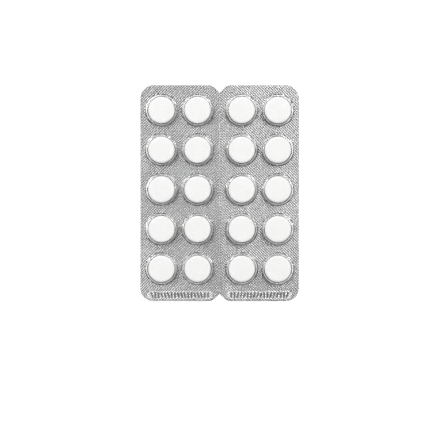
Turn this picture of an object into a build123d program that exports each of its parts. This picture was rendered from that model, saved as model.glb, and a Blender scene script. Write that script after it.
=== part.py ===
from build123d import *
import os
from math import radians, tan

# A push-through tablet pack lying flat with its pockets up. A foil sheet is sealed under a clear formed
# film, and each pocket of the film holds one round tablet. The pack has two halves that snap apart along
# a score line. The origin is the middle of the foil's underside, +X runs across the two halves, +Y runs
# along them away from the code strips, and +Z points out of the pockets. Lengths are in millimetres.

# Tablet: flat faces with a bevel round each one
TABLET_DIAMETER = 12.0
TABLET_THICKNESS = 4.2
TABLET_BEVEL_WIDTH = 0.7
TABLET_BEVEL_HEIGHT = 0.4

# Sheets
FOIL_THICKNESS = 0.03
FILM_THICKNESS = 0.25

# Pocket: clearances from the tablet to the inside of the film, then the film's bends and draft
POCKET_SIDE_CLEARANCE = 0.6
POCKET_HEAD_CLEARANCE = 0.5
POCKET_DRAFT = 3.5
POCKET_ROOF_RADIUS = 0.4
POCKET_FOOT_RADIUS = 0.4

# Layout: counts of pockets, and the flat film left between their rims
ROWS = 5
COLUMNS_PER_HALF = 2
COLUMN_WEB = 1.35
ROW_WEB = 2.95
SCORE_WEB = 2.5
SIDE_WEB = 2.1
TOP_WEB = 3.9

# Outline: rounded corners, and a notch at each end of the score line
CORNER_RADIUS = 6.0
NOTCH_DEPTH = 3.3
NOTCH_ANGLE = 90.0
NOTCH_SHOULDER_RADIUS = 4.0

# Score line: a groove in the film between the notches
SCORE_WIDTH = 0.4
SCORE_DEPTH = 0.1

# Code strips: one flattened band at the foot of each half, with plain strokes standing in it
STRIP_WIDTH = 3.8
STRIP_DEPTH = 0.08
STRIP_EDGE_MARGIN = 1.0
STRIP_POCKET_MARGIN = 2.5
STRIP_END_MARGIN = 3.0
STROKE_WIDTH = 0.7
STROKE_PITCH = 1.5
STROKE_MARGIN = 0.6
STROKE_SLANTS = (0.0, 0.0, 18.0, 18.0, 18.0)

# Pocket sizes, measured inside the film
pocket_depth = TABLET_THICKNESS + POCKET_HEAD_CLEARANCE
roof_radius = TABLET_DIAMETER / 2 + POCKET_SIDE_CLEARANCE
foot_radius = roof_radius + pocket_depth * tan(radians(POCKET_DRAFT))
foot_bend_radius = POCKET_FOOT_RADIUS + FILM_THICKNESS
rim_radius = foot_radius + foot_bend_radius

# Places of the pockets, from the top left one along each row
column_pitch = 2 * rim_radius + COLUMN_WEB
row_pitch = 2 * rim_radius + ROW_WEB
bottom_web = STRIP_EDGE_MARGIN + STRIP_WIDTH + STRIP_POCKET_MARGIN
half_width = SCORE_WEB + 2 * rim_radius + (COLUMNS_PER_HALF - 1) * column_pitch + SIDE_WEB
pack_length = TOP_WEB + 2 * rim_radius + (ROWS - 1) * row_pitch + bottom_web
inner_column = SCORE_WEB + rim_radius
top_row = pack_length / 2 - TOP_WEB - rim_radius
right_columns = [inner_column + step * column_pitch for step in range(COLUMNS_PER_HALF)]
columns = [-x for x in reversed(right_columns)] + right_columns
rows = [top_row - step * row_pitch for step in range(ROWS)]
pocket_centres = [(x, y) for y in rows for x in columns]

# Heights of the film's two faces
film_underside = Plane.XY.offset(FOIL_THICKNESS)
film_face = film_underside.offset(FILM_THICKNESS)

# Outline of both sheets: the right half from notch to notch, then its mirror image
notch_half_width = NOTCH_DEPTH * tan(radians(NOTCH_ANGLE / 2))
with BuildSketch() as outline:
    with BuildLine():
        FilletPolyline(
            (0, pack_length / 2 - NOTCH_DEPTH),
            (notch_half_width, pack_length / 2),
            (half_width, pack_length / 2),
            (half_width, -pack_length / 2),
            (notch_half_width, -pack_length / 2),
            (0, -pack_length / 2 + NOTCH_DEPTH),
            radius=[NOTCH_SHOULDER_RADIUS, CORNER_RADIUS, CORNER_RADIUS, NOTCH_SHOULDER_RADIUS],
        )
        mirror(about=Plane.YZ)
    make_face()

# Lidding foil
with BuildPart() as foil:
    with BuildSketch():
        add(outline.sketch)
    extrude(amount=FOIL_THICKNESS)

# One formed pocket: the line of the film's inside, thickened outwards and turned about its centre
with BuildPart() as pocket:
    with BuildSketch(Plane.XZ):
        with BuildLine():
            FilletPolyline(
                (0, FOIL_THICKNESS + pocket_depth),
                (roof_radius, FOIL_THICKNESS + pocket_depth),
                (foot_radius, FOIL_THICKNESS),
                (rim_radius, FOIL_THICKNESS),
                radius=[POCKET_ROOF_RADIUS, foot_bend_radius],
            )
            offset(amount=FILM_THICKNESS, side=Side.LEFT)
        make_face()
    revolve(axis=Axis.Z)

# One tablet: half of its section, turned about its axis
flat_radius = TABLET_DIAMETER / 2 - TABLET_BEVEL_WIDTH
with BuildPart() as tablet_form:
    with BuildSketch(Plane.XZ):
        with BuildLine():
            Polyline(
                (0, 0),
                (flat_radius, 0),
                (TABLET_DIAMETER / 2, TABLET_BEVEL_HEIGHT),
                (TABLET_DIAMETER / 2, TABLET_THICKNESS - TABLET_BEVEL_HEIGHT),
                (flat_radius, TABLET_THICKNESS),
                (0, TABLET_THICKNESS),
                close=True,
            )
        make_face()
    revolve(axis=Axis.Z)

# The floor of one code strip about its own centre: a band with round ends, less the standing strokes
strip_length = half_width - 2 * STRIP_END_MARGIN
strip_centre = (half_width / 2, -pack_length / 2 + STRIP_EDGE_MARGIN + STRIP_WIDTH / 2)
stroke_length = STRIP_WIDTH - 2 * STROKE_MARGIN
stroke_count = int((strip_length - STRIP_WIDTH) / STROKE_PITCH) + 1
with BuildSketch() as strip_floor:
    SlotOverall(strip_length, STRIP_WIDTH)
    for index, place in enumerate(GridLocations(STROKE_PITCH, 0, stroke_count, 1)):
        slant = STROKE_SLANTS[index % len(STROKE_SLANTS)]
        with Locations(place):
            SlotOverall(stroke_length, STROKE_WIDTH, rotation=90 - slant, mode=Mode.SUBTRACT)

# Clear film: the flat flange, its pockets, the score line and the code strips
with BuildPart() as film:
    with BuildSketch(film_underside):
        add(outline.sketch)
        with Locations(*pocket_centres):
            Circle(rim_radius, mode=Mode.SUBTRACT)
    extrude(amount=FILM_THICKNESS)
    with Locations(*pocket_centres):
        add(pocket.part)
    with BuildSketch(Plane.XZ):
        with Locations((0, FOIL_THICKNESS + FILM_THICKNESS)):
            Rectangle(SCORE_WIDTH, 2 * SCORE_DEPTH)
    extrude(amount=pack_length / 2, both=True, mode=Mode.SUBTRACT)
    with BuildSketch(film_face):
        with Locations(strip_centre):
            add(strip_floor.sketch)
        mirror(about=Plane.YZ)
    extrude(amount=-STRIP_DEPTH, mode=Mode.SUBTRACT)

os.makedirs("parts", exist_ok=True)
foil.part.label = "lidding_foil"
export_step(foil.part, "parts/lidding_foil.step")
film.part.label = "blister_film"
export_step(film.part, "parts/blister_film.step")

# Tablets: one lies on the foil in each pocket
for row, y in enumerate(rows, start=1):
    for column, x in enumerate(columns, start=1):
        with BuildPart() as tablet:
            with Locations((x, y, FOIL_THICKNESS)):
                add(tablet_form.part)
        tablet.part.label = f"tablet_r{row}_c{column}"
        export_step(tablet.part, f"parts/{tablet.part.label}.step")
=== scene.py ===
import cmath
import math
import random

import bpy
import numpy as np
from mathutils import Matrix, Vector
from mathutils.geometry import delaunay_2d_cdt


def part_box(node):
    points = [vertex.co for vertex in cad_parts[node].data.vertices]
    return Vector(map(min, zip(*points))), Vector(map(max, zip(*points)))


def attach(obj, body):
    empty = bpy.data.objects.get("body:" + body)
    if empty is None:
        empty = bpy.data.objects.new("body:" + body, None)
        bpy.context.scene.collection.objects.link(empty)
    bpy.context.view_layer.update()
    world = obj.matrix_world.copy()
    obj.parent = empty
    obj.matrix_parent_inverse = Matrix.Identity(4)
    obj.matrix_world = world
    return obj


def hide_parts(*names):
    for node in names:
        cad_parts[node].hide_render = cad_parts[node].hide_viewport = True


# A tablet pack that lies flat: clear formed film over embossed foil, with a tablet in each pocket
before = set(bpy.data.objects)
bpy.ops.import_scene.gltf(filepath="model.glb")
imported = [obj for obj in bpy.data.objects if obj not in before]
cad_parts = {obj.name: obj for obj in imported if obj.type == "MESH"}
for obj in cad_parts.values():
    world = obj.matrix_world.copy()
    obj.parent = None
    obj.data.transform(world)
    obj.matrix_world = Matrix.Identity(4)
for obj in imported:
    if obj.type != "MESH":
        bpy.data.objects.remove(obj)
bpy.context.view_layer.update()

# Lengths are metres. A point in a plane is a complex number, so that turning it is a multiplication.
MM = 0.001
WHITE = (1.0, 1.0, 1.0, 1.0)

# Film, pockets and outline, as in the solids
FILM_THICKNESS = 0.25 * MM
POCKET_SIDE_CLEARANCE = 0.6 * MM
POCKET_DRAFT = math.radians(3.5)
POCKET_ROOF_RADIUS = 0.4 * MM
POCKET_FOOT_RADIUS = 0.4 * MM
CORNER_RADIUS = 6.0 * MM
NOTCH_DEPTH = 3.3 * MM
NOTCH_SHOULDER_RADIUS = 4.0 * MM
SCORE_WIDTH = 0.4 * MM
SCORE_DEPTH = 0.1 * MM
TABLET_BEVEL_WIDTH = 0.7 * MM
TABLET_BEVEL_HEIGHT = 0.4 * MM

# Code strips and their plain strokes, as in the solids
STRIP_WIDTH = 3.8 * MM
STRIP_DEPTH = 0.08 * MM
STRIP_EDGE_MARGIN = 1.0 * MM
STRIP_END_MARGIN = 3.0 * MM
STROKE_WIDTH = 0.7 * MM
STROKE_PITCH = 1.5 * MM
STROKE_MARGIN = 0.6 * MM
STROKE_SLANTS = (0.0, 0.0, 18.0, 18.0, 18.0)

# Seal embossing: rows of small pyramids along both diagonals, pressed through the foil and into the film
KNURL_TURN = cmath.exp(0.25j * math.pi)
KNURL_PITCH = 0.871 * MM
KNURL_HEIGHT = 0.16 * MM
KNURL_FILM_SHARE = 0.35
KNURL_FADE = 0.12 * MM

# The stronger of the two diagonals, which changes over at the score line
KNURL_MAIN_SHARE = 0.64
KNURL_TURNOVER = 1.0 * MM

# Seal: how far it reaches in from a pocket's rim, and the gap that keeps the meshes of foil and film apart
SEAL_REACH = 0.3 * MM
SEAL_GAP = 0.01 * MM

# Slopes of the code strips: from a strip's edge to its floor, and from a stroke's edge to the floor
STRIP_RUN = 0.3 * MM
STROKE_LINES = (0.0, 0.12 * MM)

# Formed pockets: the walls are a little fluted, differently in each pocket
FLUTE_DEPTH = 0.14 * MM
FLUTE_COUNTS = (3, 7, 11, 16)
FLUTE_SEED = 5

# Foil under the pockets: free of the film, it puckers in a ring between the seal and the tablet
PUCKER_HEIGHT = 0.12 * MM
PUCKER_WIDTH = 1.2 * MM
PUCKER_RINGS = 8
PUCKER_COUNTS = (2, 5, 9, 13)
PUCKER_VARIATION = 1.0
PUCKER_WANDER = 3.0
PUCKER_SEED = 3

# Tablets: the edges of the bevels are worn round
BEVEL_ROUND = 0.45 * MM
RIM_ROUND = 0.25 * MM

# Foil: dulled where it is sealed, brighter in the code strips, bare in the pockets and underneath. Each
# pair of tones is painted shade: the darker tone goes in the hollows of the relief, the lighter one on its
# crests
SEALED_FOIL_PAINTED_SHADE_TONES = (0.13, 0.6)
SEALED_FOIL_ROUGHNESS = (0.36, 0.42)
STAMPED_FOIL_PAINTED_SHADE_TONES = (0.3, 0.95)
STAMPED_FOIL_ROUGHNESS = (0.36, 0.42)
BARE_FOIL_PAINTED_SHADE_TONES = (0.52, 0.64)
BARE_FOIL_ROUGHNESS = (0.18, 0.26)

# Clouds and rolling lines of the foil. Here and below, a noise is its scale and its detail.
FOIL_CLOUDS = (90.0, 3.0)
FOIL_UNEVENNESS = 0.2
ROLLING_LINES = (1.0, 2.0)
ROLLING_LINE_STRETCH = (9000.0, 260.0, 260.0)
ROLLING_LINE_DEPTH = 0.01 * MM
ROLLING_LINE_STRENGTH = 0.15

# Film: clear where it is flat, and a little milky where it was drawn into a wall
FLAT_FILM_CLEARNESS = 1.0
DRAWN_FILM_CLEARNESS = 0.7
FILM_IOR = 1.53
FILM_HAZE = (700.0, 3.0)
FILM_ROUGHNESS = (0.02, 0.06)

# Pressed powder of the tablets
POWDER_PATCHES = (600.0, 2.0)
POWDER_DULL = (0.92, 0.92, 0.91)
POWDER_BRIGHT = (0.95, 0.95, 0.945)
POWDER_GRAIN = (5200.0, 4.0)
POWDER_ROUGHNESS = (0.6, 0.85)
POWDER_GRAIN_DEPTH = 0.02 * MM
POWDER_GRAIN_STRENGTH = 0.3

# Stage: a plain floor, and surroundings that darken from the horizon upwards
FLOOR_SIZE = 6.0
FLOOR_DROP = 0.05 * MM
FLOOR_CLOUDS = (3.0, 2.0)
FLOOR_DULL = (0.83, 0.83, 0.83)
FLOOR_BRIGHT = (0.85, 0.85, 0.85)
FLOOR_ROUGHNESS = 0.9
FLOOR_SPECULAR = 0.1
FLOOR_GLOW = 0.4
HORIZON_LEVEL = 1.0
ZENITH_LEVEL = 0.05

# Lamps: the turn of each from +X and its lean from upright, in degrees, and its power
LAMP_SIZE = 0.8
LAMP_DISTANCE = 1.4
LAMPS = {"left_lamp": (146.0, 36.0, 9.3), "right_lamp": (44.0, 39.0, 9.6)}

# Camera: straight above, over the place that the photo's middle shows
CAMERA_HEIGHT = 1.5
CAMERA_PLACE = (-3.24 * MM, -8.77 * MM)
VIEW_WIDTH = 193.5 * MM
SENSOR_WIDTH = 36.0

# Fineness of the meshes
POCKET_SEGMENTS = 64
TABLET_SEGMENTS = 72
SLOT_END_STEPS = 8
POCKET_ARC_STEP = math.radians(15.0)
TABLET_ARC_STEP = math.radians(7.5)
OUTLINE_ARC_STEP = math.radians(3.0)
WALL_STEP = 1.0 * MM
GRID_CLEARANCE = 0.1 * MM
RIM_CLEARANCE = 0.05 * MM
RIM_TOLERANCE = 0.001 * MM
WELD_DISTANCE = 0.0001 * MM
TURN_DIGITS = 6

# The numbers of each sheet's finishes, in the order of its materials
SEALED, STAMPED, BARE = range(3)
FLAT, DRAWN = range(2)

# Sizes and places that the CAD parts give
foil_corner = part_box("lidding_foil")[1]
half_width = foil_corner.x
half_length = foil_corner.y
foil_thickness = foil_corner.z
roof_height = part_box("blister_film")[1].z
tablet_names = sorted(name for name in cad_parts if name.startswith("tablet"))
tablet_boxes = [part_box(name) for name in tablet_names]
pocket_centres = [complex(low.x + high.x, low.y + high.y) / 2 for low, high in tablet_boxes]
tablet_radius = (tablet_boxes[0][1].x - tablet_boxes[0][0].x) / 2

# Sizes worked out from those
flange_top = foil_thickness + FILM_THICKNESS
roof_underside = roof_height - FILM_THICKNESS
roof_radius = tablet_radius + POCKET_SIDE_CLEARANCE
foot_radius = roof_radius + (roof_underside - foil_thickness) * math.tan(POCKET_DRAFT)
foot_bend_radius = POCKET_FOOT_RADIUS + FILM_THICKNESS
rim_radius = foot_radius + foot_bend_radius
seal_radius = rim_radius - SEAL_REACH
half_pitch = KNURL_PITCH / 2
strip_length = half_width - 2 * STRIP_END_MARGIN
strip_centre = complex(half_width / 2, -half_length + STRIP_EDGE_MARGIN + STRIP_WIDTH / 2)
stroke_length = STRIP_WIDTH - 2 * STROKE_MARGIN
stroke_count = int((strip_length - STRIP_WIDTH) / STROKE_PITCH) + 1


def rounded_line(corners, radii, arc_step):
    """Points of straight runs through the corners, joined by tangent arcs of the given radii."""
    points = [corners[0]]
    for before, corner, after, radius in zip(corners, corners[1:], corners[2:], radii):
        back = (before - corner) / abs(before - corner)
        onward = (after - corner) / abs(after - corner)
        turn = math.pi - abs(cmath.phase(onward / back))
        reach = radius * math.tan(turn / 2)
        start = corner + back * reach
        end = corner + onward * reach
        bisector = (back + onward) / abs(back + onward)
        centre = corner + bisector * radius / math.cos(turn / 2)
        sweep = cmath.phase((end - centre) / (start - centre))
        steps = max(1, math.ceil(abs(sweep) / arc_step))
        points += [centre + (start - centre) * cmath.exp(1j * sweep * k / steps) for k in range(steps + 1)]
    points.append(corners[-1])
    return points


def spaced(points, gap):
    """The same line with its long runs divided, so that no two points are further apart than the gap."""
    line = [points[0]]
    for start, end in zip(points, points[1:]):
        steps = max(1, math.ceil(abs(end - start) / gap))
        line += [start + (end - start) * k / steps for k in range(1, steps + 1)]
    return line


def circle_loop(centre, radius, count):
    """Points evenly spaced round a circle."""
    return [centre + cmath.rect(radius, math.tau * k / count) for k in range(count)]


def circle_spokes(count):
    """Directions evenly spaced round a circle."""
    return np.exp(2j * math.pi * np.arange(count) / count)


def slot_loop(start, end, radius):
    """The outline of a band with round ends about the line from start to end."""
    along = (end - start) / abs(end - start)
    turns = [math.pi * (k / SLOT_END_STEPS - 0.5) for k in range(SLOT_END_STEPS + 1)]
    cap = [cmath.rect(radius, turn) * along for turn in turns]
    loop = [end + point for point in cap] + [start - point for point in cap]
    return spaced(loop + loop[:1], half_pitch)[:-1]


def slot_distance(points, start, end, radius):
    """How far each point lies outside the band, less than nothing within it."""
    run = end - start
    share = np.clip(((points - start) * run.conjugate()).real / abs(run) ** 2, 0, 1)
    return np.abs(points - start - share * run) - radius


def nearest(points, slots):
    """The least distance from each point to any of the bands."""
    distance = np.full(len(points), np.inf)
    for slot in slots:
        distance = np.minimum(distance, slot_distance(points, *slot))
    return distance


def seal_distance(points):
    """How far each point lies outside the edge of the seal round the nearest pocket."""
    distance = np.full(len(points), np.inf)
    for centre in pocket_centres:
        distance = np.minimum(distance, np.abs(points - centre) - seal_radius)
    return distance


def outline_distance(points, outline):
    """How far each point lies from the outline, less than nothing outside it."""
    distance = np.full(len(points), np.inf)
    crossings = np.zeros(len(points), int)
    for start, end in zip(outline, outline[1:] + outline[:1]):
        distance = np.minimum(distance, slot_distance(points, start, end, 0.0))
        if start.imag != end.imag:
            between = (points.imag < start.imag) != (points.imag < end.imag)
            share = (points.imag - start.imag) / (end.imag - start.imag)
            crossings += between & (points.real < start.real + share * (end.real - start.real))
    return np.where(crossings % 2 == 1, distance, -distance)


def uneven_waves(turns, counts, draw):
    """Waves round a circle, of several counts with random phases, from minus one to one."""
    waves = sum(np.cos(math.tau * (count * turns + draw.random())) for count in counts)
    return waves / len(counts)


def ramp(values, start, end):
    """Nought at start, one at end and straight between them."""
    return np.clip((values - start) / (end - start), 0, 1)


def outline_points():
    """The pack's outline: the right half from notch to notch, then its mirror image."""
    right_half = rounded_line(
        [
            complex(0, half_length - NOTCH_DEPTH),
            complex(NOTCH_DEPTH, half_length),
            complex(half_width, half_length),
            complex(half_width, -half_length),
            complex(NOTCH_DEPTH, -half_length),
            complex(0, -half_length + NOTCH_DEPTH),
        ],
        [NOTCH_SHOULDER_RADIUS, CORNER_RADIUS, CORNER_RADIUS, NOTCH_SHOULDER_RADIUS],
        OUTLINE_ARC_STEP,
    )
    right_half = spaced(right_half, half_pitch / math.sqrt(2))
    left_half = [-point.conjugate() for point in reversed(right_half)]
    return right_half[:-1] + left_half[:-1]


def strip_slots():
    """The two code strips as (start, end, radius), the left one the mirror image of the right one."""
    radius = STRIP_WIDTH / 2
    reach = strip_length / 2 - radius
    right = (strip_centre - reach, strip_centre + reach, radius)
    left = (-right[0].conjugate(), -right[1].conjugate(), radius)
    return [right, left]


def stroke_slots():
    """The strokes of both strips as (start, end, radius)."""
    slots = []
    radius = STROKE_WIDTH / 2
    for index in range(stroke_count):
        middle = strip_centre + (index - (stroke_count - 1) / 2) * STROKE_PITCH
        lean = math.radians(90 - STROKE_SLANTS[index % len(STROKE_SLANTS)])
        reach = cmath.rect(stroke_length / 2 - radius, lean)
        slots.append((middle - reach, middle + reach, radius))
        slots.append((-(middle - reach).conjugate(), -(middle + reach).conjugate(), radius))
    return slots


def pattern_loops(outline, strips, strokes):
    """The closed lines that the triangles keep to: outline, seals, pucker rings, strips and strokes."""
    loops = [outline]
    for ring in range(PUCKER_RINGS + 1):
        radius = seal_radius - PUCKER_WIDTH * ring / PUCKER_RINGS
        loops += [circle_loop(centre, radius, POCKET_SEGMENTS) for centre in pocket_centres]
    for start, end, radius in strips:
        loops += [slot_loop(start, end, radius - inset) for inset in (0, STRIP_RUN)]
    for start, end, radius in strokes:
        loops += [slot_loop(start, end, radius + outset) for outset in STROKE_LINES]
    return loops


def knurl_grid(outline, strips, strokes):
    """The crests and hollows of the embossing that lie clear of every line of the pattern."""
    reach = math.ceil((half_width + half_length) / half_pitch)
    across, along = np.meshgrid(np.arange(-reach, reach + 1), np.arange(-reach, reach + 1))
    points = ((across + 1j * along) * half_pitch * KNURL_TURN).ravel()
    points = points[(np.abs(points.real) < half_width) & (np.abs(points.imag) < half_length)]
    points = points[seal_distance(points) > GRID_CLEARANCE]
    points = points[outline_distance(points, outline) > GRID_CLEARANCE]
    points = points[nearest(points, strokes) > STROKE_LINES[-1] + GRID_CLEARANCE]
    for inset in (0, STRIP_RUN):
        points = points[np.abs(nearest(points, strips) + inset) > GRID_CLEARANCE]
    return points


class Sheet:
    """The flat pattern that film and foil share: points in the plane, triangles and what lies where."""

    def __init__(self):
        outline = outline_points()
        strips = strip_slots()
        strokes = stroke_slots()
        points = []
        edges = []
        for loop in pattern_loops(outline, strips, strokes):
            first = len(points)
            points += loop
            edges += [(first + k, first + (k + 1) % len(loop)) for k in range(len(loop))]
        points += list(knurl_grid(outline, strips, strokes))
        flat = [Vector((point.real, point.imag)) for point in points]
        pattern = delaunay_2d_cdt(flat, edges, [], 0, WELD_DISTANCE)
        self.points = np.array([complex(point.x, point.y) for point in pattern[0]])
        triangles = np.array(pattern[2])
        corners = self.points[triangles]
        turned = ((corners[:, 1] - corners[:, 0]).conj() * (corners[:, 2] - corners[:, 0])).imag < 0
        triangles[turned] = triangles[turned][:, ::-1]
        middles = corners.mean(axis=1)
        inside = outline_distance(middles, outline) > 0
        sealed = seal_distance(middles) > 0
        self.flange = triangles[inside & sealed]
        self.discs = triangles[inside & ~sealed]
        self.stamped = nearest(middles[inside & sealed], strips) < 0
        self.strip = nearest(self.points, strips)
        self.stroke = nearest(self.points, strokes)
        self.seal = seal_distance(self.points)

    def knurl(self):
        """Height of the embossing: none at pockets and strokes, and a dotted line under the score."""
        turned = self.points * KNURL_TURN.conjugate()
        waves = [np.abs(2 * np.mod(axis / KNURL_PITCH, 1) - 1) for axis in (turned.real, turned.imag)]
        fade = ramp(self.seal, 0, KNURL_FADE) * ramp(self.stroke, *STROKE_LINES)
        swing = (KNURL_MAIN_SHARE - 0.5) * np.clip(self.points.real / KNURL_TURNOVER, -1, 1)
        crests = fade * ((0.5 + swing) * waves[0] + (0.5 - swing) * waves[1])
        return KNURL_HEIGHT * np.maximum(crests, self.score())

    def bend(self, radius):
        """Height of the pockets' foot bends, from the rims inwards."""
        inward = np.clip(SEAL_REACH - self.seal, 0, radius)
        return radius - np.sqrt(radius ** 2 - inward ** 2)

    def pucker(self):
        """Height of the foil's puckers, whose crests wander differently in each pocket."""
        draw = random.Random(PUCKER_SEED)
        height = np.zeros(len(self.points))
        share = ramp(self.seal, 0, -PUCKER_WIDTH)
        for centre in pocket_centres:
            spoke = self.points - centre
            turns = np.angle(spoke) / math.tau
            waves = uneven_waves(turns, PUCKER_COUNTS, draw)
            wander = uneven_waves(turns, PUCKER_COUNTS, draw)
            crest = np.sin(math.pi * share ** (PUCKER_WANDER ** wander)) * (1 + PUCKER_VARIATION * waves)
            height += np.where(np.abs(spoke) < seal_radius, crest, 0)
        return PUCKER_HEIGHT * height

    def strip_floor(self):
        """One on the floor of a code strip, nought outside it and on its strokes."""
        return ramp(self.strip, 0, -STRIP_RUN) * ramp(self.stroke, *STROKE_LINES)

    def score(self):
        """One along the bottom of the score line, nought at its edges."""
        return ramp(np.abs(self.points.real), SCORE_WIDTH / 2, 0)

    def rim(self, centre):
        """The numbers of the points on the seal's edge round one pocket, in turn from +X."""
        away = np.abs(np.abs(self.points - centre) - seal_radius)
        numbers = np.flatnonzero(away < RIM_TOLERANCE)
        turns = np.angle(self.points[numbers] - centre) % math.tau
        return numbers[np.argsort(np.round(turns, TURN_DIGITS) % round(math.tau, TURN_DIGITS))]


class Skin:
    """The points and faces of one mesh, gathered stretch by stretch."""

    def __init__(self):
        self.points = []
        self.faces = []
        self.smooth = []
        self.finishes = []

    def add_points(self, flat, heights):
        """Adds points over a plane and returns their numbers."""
        first = len(self.points)
        self.points += list(zip(flat.real.tolist(), flat.imag.tolist(), heights.tolist()))
        return np.arange(first, len(self.points))

    def add_faces(self, faces, smooth, finish=0):
        """Adds faces and says which of the piece's materials they have."""
        self.faces += [tuple(face) for face in faces.tolist()]
        self.smooth += [smooth] * len(faces)
        self.finishes += [finish] * len(faces)

    def add_rings(self, rings, outward, finishes=None):
        """Bands of faces between rings of point numbers. The last ring may be a single point."""
        for lower, upper, finish in zip(rings, rings[1:], finishes or [0] * len(rings)):
            onward = np.roll(lower, -1)
            if len(upper) == 1:
                band = np.stack([lower, onward, np.repeat(upper, len(lower))], axis=1)
            else:
                band = np.stack([lower, onward, np.roll(upper, -1), upper], axis=1)
            self.add_faces(band if outward else band[:, ::-1], True, finish)

    def add_walls(self, triangles, tops, bottoms, points):
        """Upright faces along the outer edges of a sheet, between its two sides."""
        sides = np.concatenate([triangles[:, [0, 1]], triangles[:, [1, 2]], triangles[:, [2, 0]]])
        known = set(map(tuple, sides.tolist()))
        free = np.array([side for side in known if side[::-1] not in known])
        free = free[np.lexsort((free[:, 1], free[:, 0]))]
        free = free[seal_distance(points[free].mean(axis=1)) > 0]
        starts = free[:, 0]
        ends = free[:, 1]
        walls = np.stack([bottoms[starts], bottoms[ends], tops[ends], tops[starts]], axis=1)
        self.add_faces(walls, False)

    def build(self, name, *materials):
        """The finished object, without the points that no face uses."""
        used = np.zeros(len(self.points), bool)
        used[np.concatenate([np.array(face) for face in self.faces])] = True
        place = np.cumsum(used) - 1
        points = [point for point, keep in zip(self.points, used) if keep]
        faces = [[int(place[k]) for k in face] for face in self.faces]
        mesh = bpy.data.meshes.new(name)
        mesh.from_pydata(points, [], faces)
        mesh.polygons.foreach_set("use_smooth", self.smooth)
        mesh.polygons.foreach_set("material_index", self.finishes)
        for material in materials:
            mesh.materials.append(material)
        piece = bpy.data.objects.new(name, mesh)
        bpy.context.scene.collection.objects.link(piece)
        return piece


def settle(piece, node):
    """Puts the piece under the root body and hides the CAD node whose place it takes."""
    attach(piece, "root")
    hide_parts(node)


def pocket_profile():
    """A pocket's section from rim to roof, inside and outside: distances from its middle, and heights."""
    inside = rounded_line(
        [
            complex(rim_radius, foil_thickness),
            complex(foot_radius, foil_thickness),
            complex(roof_radius, roof_underside),
            complex(0, roof_underside),
        ],
        [foot_bend_radius, POCKET_ROOF_RADIUS],
        POCKET_ARC_STEP,
    )
    inside = np.array(spaced(inside[:-1], WALL_STEP))
    ahead = np.gradient(inside)
    outward = -1j * ahead / np.abs(ahead)
    outward[0] = outward[-1] = 1j
    return inside, inside + FILM_THICKNESS * outward


def add_pocket_face(skin, centre, profile, rim, waves, outward):
    """One face of a formed pocket, from rim to roof. Its flutes are deepest near the wall's middle."""
    spokes = circle_spokes(POCKET_SEGMENTS)
    rings = [rim]
    points = profile[profile.real < seal_radius - RIM_CLEARANCE]
    runs = np.diff(points)
    steep = np.abs(runs.imag) > np.abs(runs.real)
    finishes = [FLAT] + [DRAWN if drawn else FLAT for drawn in steep] + [FLAT]
    for point in points:
        rise = ramp(point.imag, foil_thickness, roof_height)
        depth = FLUTE_DEPTH * math.sin(math.pi * rise) * (1 - rise / 2)
        ring = centre + spokes * (point.real + depth * waves)
        rings.append(skin.add_points(ring, np.full(POCKET_SEGMENTS, point.imag)))
    rings.append(skin.add_points(np.array([centre]), np.array([profile[-1].imag])))
    skin.add_rings(rings, outward, finishes)


def make_film(sheet):
    """The clear film: an embossed flange with a score line and code strips, and its formed pockets."""
    draw = random.Random(FLUTE_SEED)
    skin = Skin()
    knurl = sheet.knurl()
    tops = flange_top + sheet.bend(POCKET_FOOT_RADIUS) + KNURL_FILM_SHARE * knurl
    tops -= STRIP_DEPTH * sheet.strip_floor() + SCORE_DEPTH * sheet.score()
    bottoms = foil_thickness + sheet.bend(foot_bend_radius) + knurl
    upper = skin.add_points(sheet.points, tops)
    lower = skin.add_points(sheet.points, bottoms)
    skin.add_faces(upper[sheet.flange], False, FLAT)
    skin.add_faces(lower[sheet.flange][:, ::-1], False, FLAT)
    skin.add_walls(sheet.flange, upper, lower, sheet.points)
    inside, outside = pocket_profile()
    for centre in pocket_centres:
        rim = sheet.rim(centre)
        waves = uneven_waves(np.arange(POCKET_SEGMENTS) / POCKET_SEGMENTS, FLUTE_COUNTS, draw)
        add_pocket_face(skin, centre, outside, upper[rim], waves, True)
        add_pocket_face(skin, centre, inside, lower[rim], waves, False)
    flat = film_material("flat_film", FLAT_FILM_CLEARNESS)
    drawn = film_material("drawn_film", DRAWN_FILM_CLEARNESS)
    piece = skin.build("formed_film", flat, drawn)
    settle(piece, "blister_film")


def make_foil(sheet):
    """The lidding foil: embossed where it is sealed to the film, and puckered under the pockets."""
    skin = Skin()
    relief = sheet.knurl() + np.minimum(sheet.pucker(), sheet.bend(foot_bend_radius))
    upper = skin.add_points(sheet.points, foil_thickness - SEAL_GAP + relief)
    lower = skin.add_points(sheet.points, relief)
    triangles = np.concatenate([sheet.flange, sheet.discs])
    skin.add_faces(upper[sheet.flange[~sheet.stamped]], False, SEALED)
    skin.add_faces(upper[sheet.flange[sheet.stamped]], False, STAMPED)
    skin.add_faces(upper[sheet.discs], False, BARE)
    skin.add_faces(lower[triangles][:, ::-1], False, BARE)
    skin.add_walls(triangles, upper, lower, sheet.points)
    sealed = foil_material("sealed_foil", SEALED_FOIL_PAINTED_SHADE_TONES, SEALED_FOIL_ROUGHNESS)
    stamped = foil_material("stamped_foil", STAMPED_FOIL_PAINTED_SHADE_TONES, STAMPED_FOIL_ROUGHNESS)
    bare = foil_material("bare_foil", BARE_FOIL_PAINTED_SHADE_TONES, BARE_FOIL_ROUGHNESS)
    piece = skin.build("embossed_foil", sealed, stamped, bare)
    settle(piece, "lidding_foil")


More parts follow.
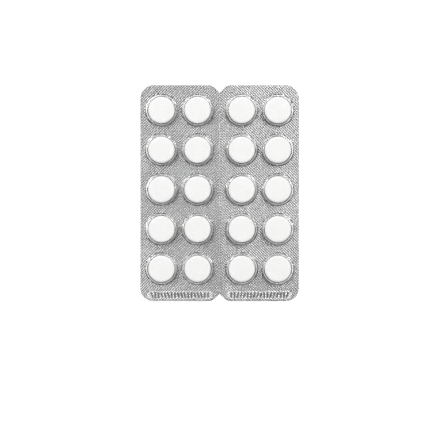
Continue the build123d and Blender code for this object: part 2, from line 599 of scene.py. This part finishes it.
def make_tablet(name, box, material):
    """One pressed tablet: flat faces, with bevels whose edges are rounded."""
    low, high = box
    centre = complex(low.x + high.x, low.y + high.y) / 2
    flat_radius = tablet_radius - TABLET_BEVEL_WIDTH
    profile = rounded_line(
        [
            complex(0, low.z),
            complex(flat_radius, low.z),
            complex(tablet_radius, low.z + TABLET_BEVEL_HEIGHT),
            complex(tablet_radius, high.z - TABLET_BEVEL_HEIGHT),
            complex(flat_radius, high.z),
            complex(0, high.z),
        ],
        [BEVEL_ROUND, RIM_ROUND, RIM_ROUND, BEVEL_ROUND],
        TABLET_ARC_STEP,
    )
    skin = Skin()
    spokes = circle_spokes(TABLET_SEGMENTS)
    rings = []
    for point in profile[1:-1]:
        rings.append(skin.add_points(centre + spokes * point.real, np.full(TABLET_SEGMENTS, point.imag)))
    top = skin.add_points(np.array([centre]), np.array([high.z]))
    bottom = skin.add_points(np.array([centre]), np.array([low.z]))
    skin.add_rings(rings + [top], True)
    skin.add_rings([rings[0], bottom], False)
    piece = skin.build("pressed_" + name, material)
    settle(piece, name)


class Finish:
    """A material in the making: its shader, the place on the piece, and short ways to add nodes."""

    def __init__(self, name):
        self.material = bpy.data.materials.new(name)
        self.material.use_nodes = True
        self.nodes = self.material.node_tree.nodes
        self.links = self.material.node_tree.links
        self.shader = self.nodes["Principled BSDF"]
        self.output = self.nodes["Material Output"]
        self.place = self.add("TexCoord").outputs["Object"]

    def fill(self, node, inputs):
        """Gives each input of a node its value, or links it to the output that gives the value."""
        for key, value in inputs.items():
            if isinstance(value, bpy.types.NodeSocket):
                self.links.new(value, node.inputs[key])
            else:
                node.inputs[key].default_value = value

    def add(self, kind, inputs=None):
        """A new node of that kind."""
        node = self.nodes.new("ShaderNode" + kind)
        self.fill(node, inputs or {})
        return node

    def noise(self, place, scale, detail):
        """Soft random clouds from nought to one."""
        return self.add("TexNoise", {"Vector": place, "Scale": scale, "Detail": detail}).outputs["Fac"]

    def spread(self, value, low, high):
        """A value from nought to one, spread from low to high."""
        return self.add("MapRange", {"Value": value, "To Min": low, "To Max": high}).outputs["Result"]

    def tone(self, share, dull, bright):
        """A colour between two colours."""
        node = self.add("ValToRGB", {"Fac": share})
        node.color_ramp.elements[0].color = (*dull, 1)
        node.color_ramp.elements[1].color = (*bright, 1)
        return node.outputs["Color"]

    def bump(self, height, depth, strength):
        """A fine relief of the surface."""
        relief = {"Height": height, "Strength": strength, "Distance": depth}
        return self.add("Bump", relief).outputs["Normal"]

    def combine(self, operation, first, second):
        """Two values put together by an arithmetic operation."""
        node = self.add("Math", {0: first, 1: second})
        node.operation = operation
        return node.outputs["Value"]

    def mix(self, share, first, second):
        """The first shader where the share is nought, the second where it is one."""
        return self.add("MixShader", {"Fac": share, 1: first, 2: second}).outputs["Shader"]


def foil_material(name, painted_shade_tones, roughness):
    """Rolled aluminium: faint lines, a satin finish that varies, and painted shade, a darker colour in the
    hollows of the relief than on its crests.
    """
    finish = Finish(name)
    clouds = finish.noise(finish.place, *FOIL_CLOUDS)
    # Painted shade: the height above the foil's hollows sets the colour, dark in the hollows and light on
    # the crests, with some random unevenness
    height = finish.add("SeparateXYZ", {"Vector": finish.place}).outputs["Z"]
    shaded_hollow_height = foil_thickness - SEAL_GAP
    heights = {"From Min": shaded_hollow_height, "From Max": shaded_hollow_height + KNURL_HEIGHT}
    rise = finish.add("MapRange", {"Value": height, **heights}).outputs["Result"]
    uneven = finish.spread(clouds, -FOIL_UNEVENNESS, FOIL_UNEVENNESS)
    dull, bright = [(level, level, level) for level in painted_shade_tones]
    stretch = {"Vector": finish.place, "Scale": ROLLING_LINE_STRETCH}
    lines = finish.noise(finish.add("Mapping", stretch).outputs["Vector"], *ROLLING_LINES)
    inputs = {
        "Base Color": finish.tone(finish.combine("ADD", rise, uneven), dull, bright),
        "Metallic": 1.0,
        "Roughness": finish.spread(clouds, *roughness),
        "Normal": finish.bump(lines, ROLLING_LINE_DEPTH, ROLLING_LINE_STRENGTH),
    }
    finish.fill(finish.shader, inputs)
    return finish.material


def film_material(name, clearness):
    """Clear formed film. Lamps and mirrored rays pass straight through, so it casts no hard shadow."""
    finish = Finish(name)
    haze = finish.noise(finish.place, *FILM_HAZE)
    inputs = {
        "Base Color": WHITE,
        "Roughness": finish.spread(haze, *FILM_ROUGHNESS),
        "IOR": FILM_IOR,
        "Transmission Weight": clearness,
    }
    finish.fill(finish.shader, inputs)
    path = finish.add("LightPath").outputs
    clear = finish.add("BsdfTransparent").outputs["BSDF"]
    surface = finish.shader.outputs["BSDF"]
    for kind in ("Is Shadow Ray", "Is Reflection Ray"):
        surface = finish.mix(path[kind], surface, clear)
    finish.fill(finish.output, {"Surface": surface})
    return finish.material


def tablet_material():
    """Pressed white powder: chalky, with a fine grain."""
    finish = Finish("pressed_powder")
    patches = finish.noise(finish.place, *POWDER_PATCHES)
    grain = finish.noise(finish.place, *POWDER_GRAIN)
    inputs = {
        "Base Color": finish.tone(patches, POWDER_DULL, POWDER_BRIGHT),
        "Roughness": finish.spread(grain, *POWDER_ROUGHNESS),
        "Normal": finish.bump(grain, POWDER_GRAIN_DEPTH, POWDER_GRAIN_STRENGTH),
    }
    finish.fill(finish.shader, inputs)
    return finish.material


def floor_material():
    """Plain white: what is seen of it, straight or mirrored, is lifted to white, and shadows stay."""
    finish = Finish("floor")
    clouds = finish.noise(finish.place, *FLOOR_CLOUDS)
    path = finish.add("LightPath").outputs
    seen = path["Is Camera Ray"]
    for kind in ("Is Glossy Ray", "Is Transmission Ray"):
        seen = finish.combine("MAXIMUM", seen, path[kind])
    inputs = {
        "Base Color": finish.tone(clouds, FLOOR_DULL, FLOOR_BRIGHT),
        "Roughness": FLOOR_ROUGHNESS,
        "Specular IOR Level": FLOOR_SPECULAR,
        "Emission Color": WHITE,
        "Emission Strength": finish.combine("MULTIPLY", seen, FLOOR_GLOW),
    }
    finish.fill(finish.shader, inputs)
    return finish.material


def make_floor():
    """A plain floor just under the pack."""
    bpy.ops.mesh.primitive_plane_add(size=FLOOR_SIZE, location=(0, 0, -FLOOR_DROP))
    floor = bpy.context.object
    floor.name = "floor"
    floor.data.materials.append(floor_material())


def make_lamp(name, turn, lean, power):
    """A soft square lamp that faces the middle of the pack."""
    light = bpy.data.lights.new(name, "AREA")
    light.shape = "SQUARE"
    light.size = LAMP_SIZE
    light.energy = power
    lamp = bpy.data.objects.new(name, light)
    flat = cmath.rect(LAMP_DISTANCE * math.sin(math.radians(lean)), math.radians(turn))
    lamp.location = (flat.real, flat.imag, LAMP_DISTANCE * math.cos(math.radians(lean)))
    lamp.rotation_euler = lamp.location.to_track_quat("Z", "Y").to_euler()
    bpy.context.scene.collection.objects.link(lamp)


def make_world():
    """Pale surroundings, white at the horizon and dark overhead."""
    world = bpy.data.worlds.new("studio")
    bpy.context.scene.world = world
    world.use_nodes = True
    nodes = world.node_tree.nodes
    links = world.node_tree.links
    background = nodes["Background"]
    background.inputs["Color"].default_value = WHITE
    direction = nodes.new("ShaderNodeTexCoord")
    height = nodes.new("ShaderNodeSeparateXYZ")
    level = nodes.new("ShaderNodeMapRange")
    level.inputs["To Min"].default_value = HORIZON_LEVEL
    level.inputs["To Max"].default_value = ZENITH_LEVEL
    links.new(direction.outputs["Generated"], height.inputs["Vector"])
    links.new(height.outputs["Z"], level.inputs["Value"])
    links.new(level.outputs["Result"], background.inputs["Strength"])


def make_camera():
    """A long lens that looks straight down, with +Y up in the picture."""
    data = bpy.data.cameras.new("camera")
    data.sensor_width = SENSOR_WIDTH
    data.lens = SENSOR_WIDTH * CAMERA_HEIGHT / VIEW_WIDTH
    camera = bpy.data.objects.new("camera", data)
    camera.location = (*CAMERA_PLACE, CAMERA_HEIGHT)
    bpy.context.scene.collection.objects.link(camera)
    bpy.context.scene.camera = camera


# The pack
pattern_sheet = Sheet()
make_foil(pattern_sheet)
make_film(pattern_sheet)
powder = tablet_material()
for tablet_name, tablet_box in zip(tablet_names, tablet_boxes):
    make_tablet(tablet_name, tablet_box, powder)

# The stage and the camera
make_floor()
for lamp_name, lamp_setting in LAMPS.items():
    make_lamp(lamp_name, *lamp_setting)
make_world()
make_camera()
bpy.context.scene.view_settings.view_transform = "Standard"
bpy.context.scene.cycles.denoising_prefilter = "NONE"
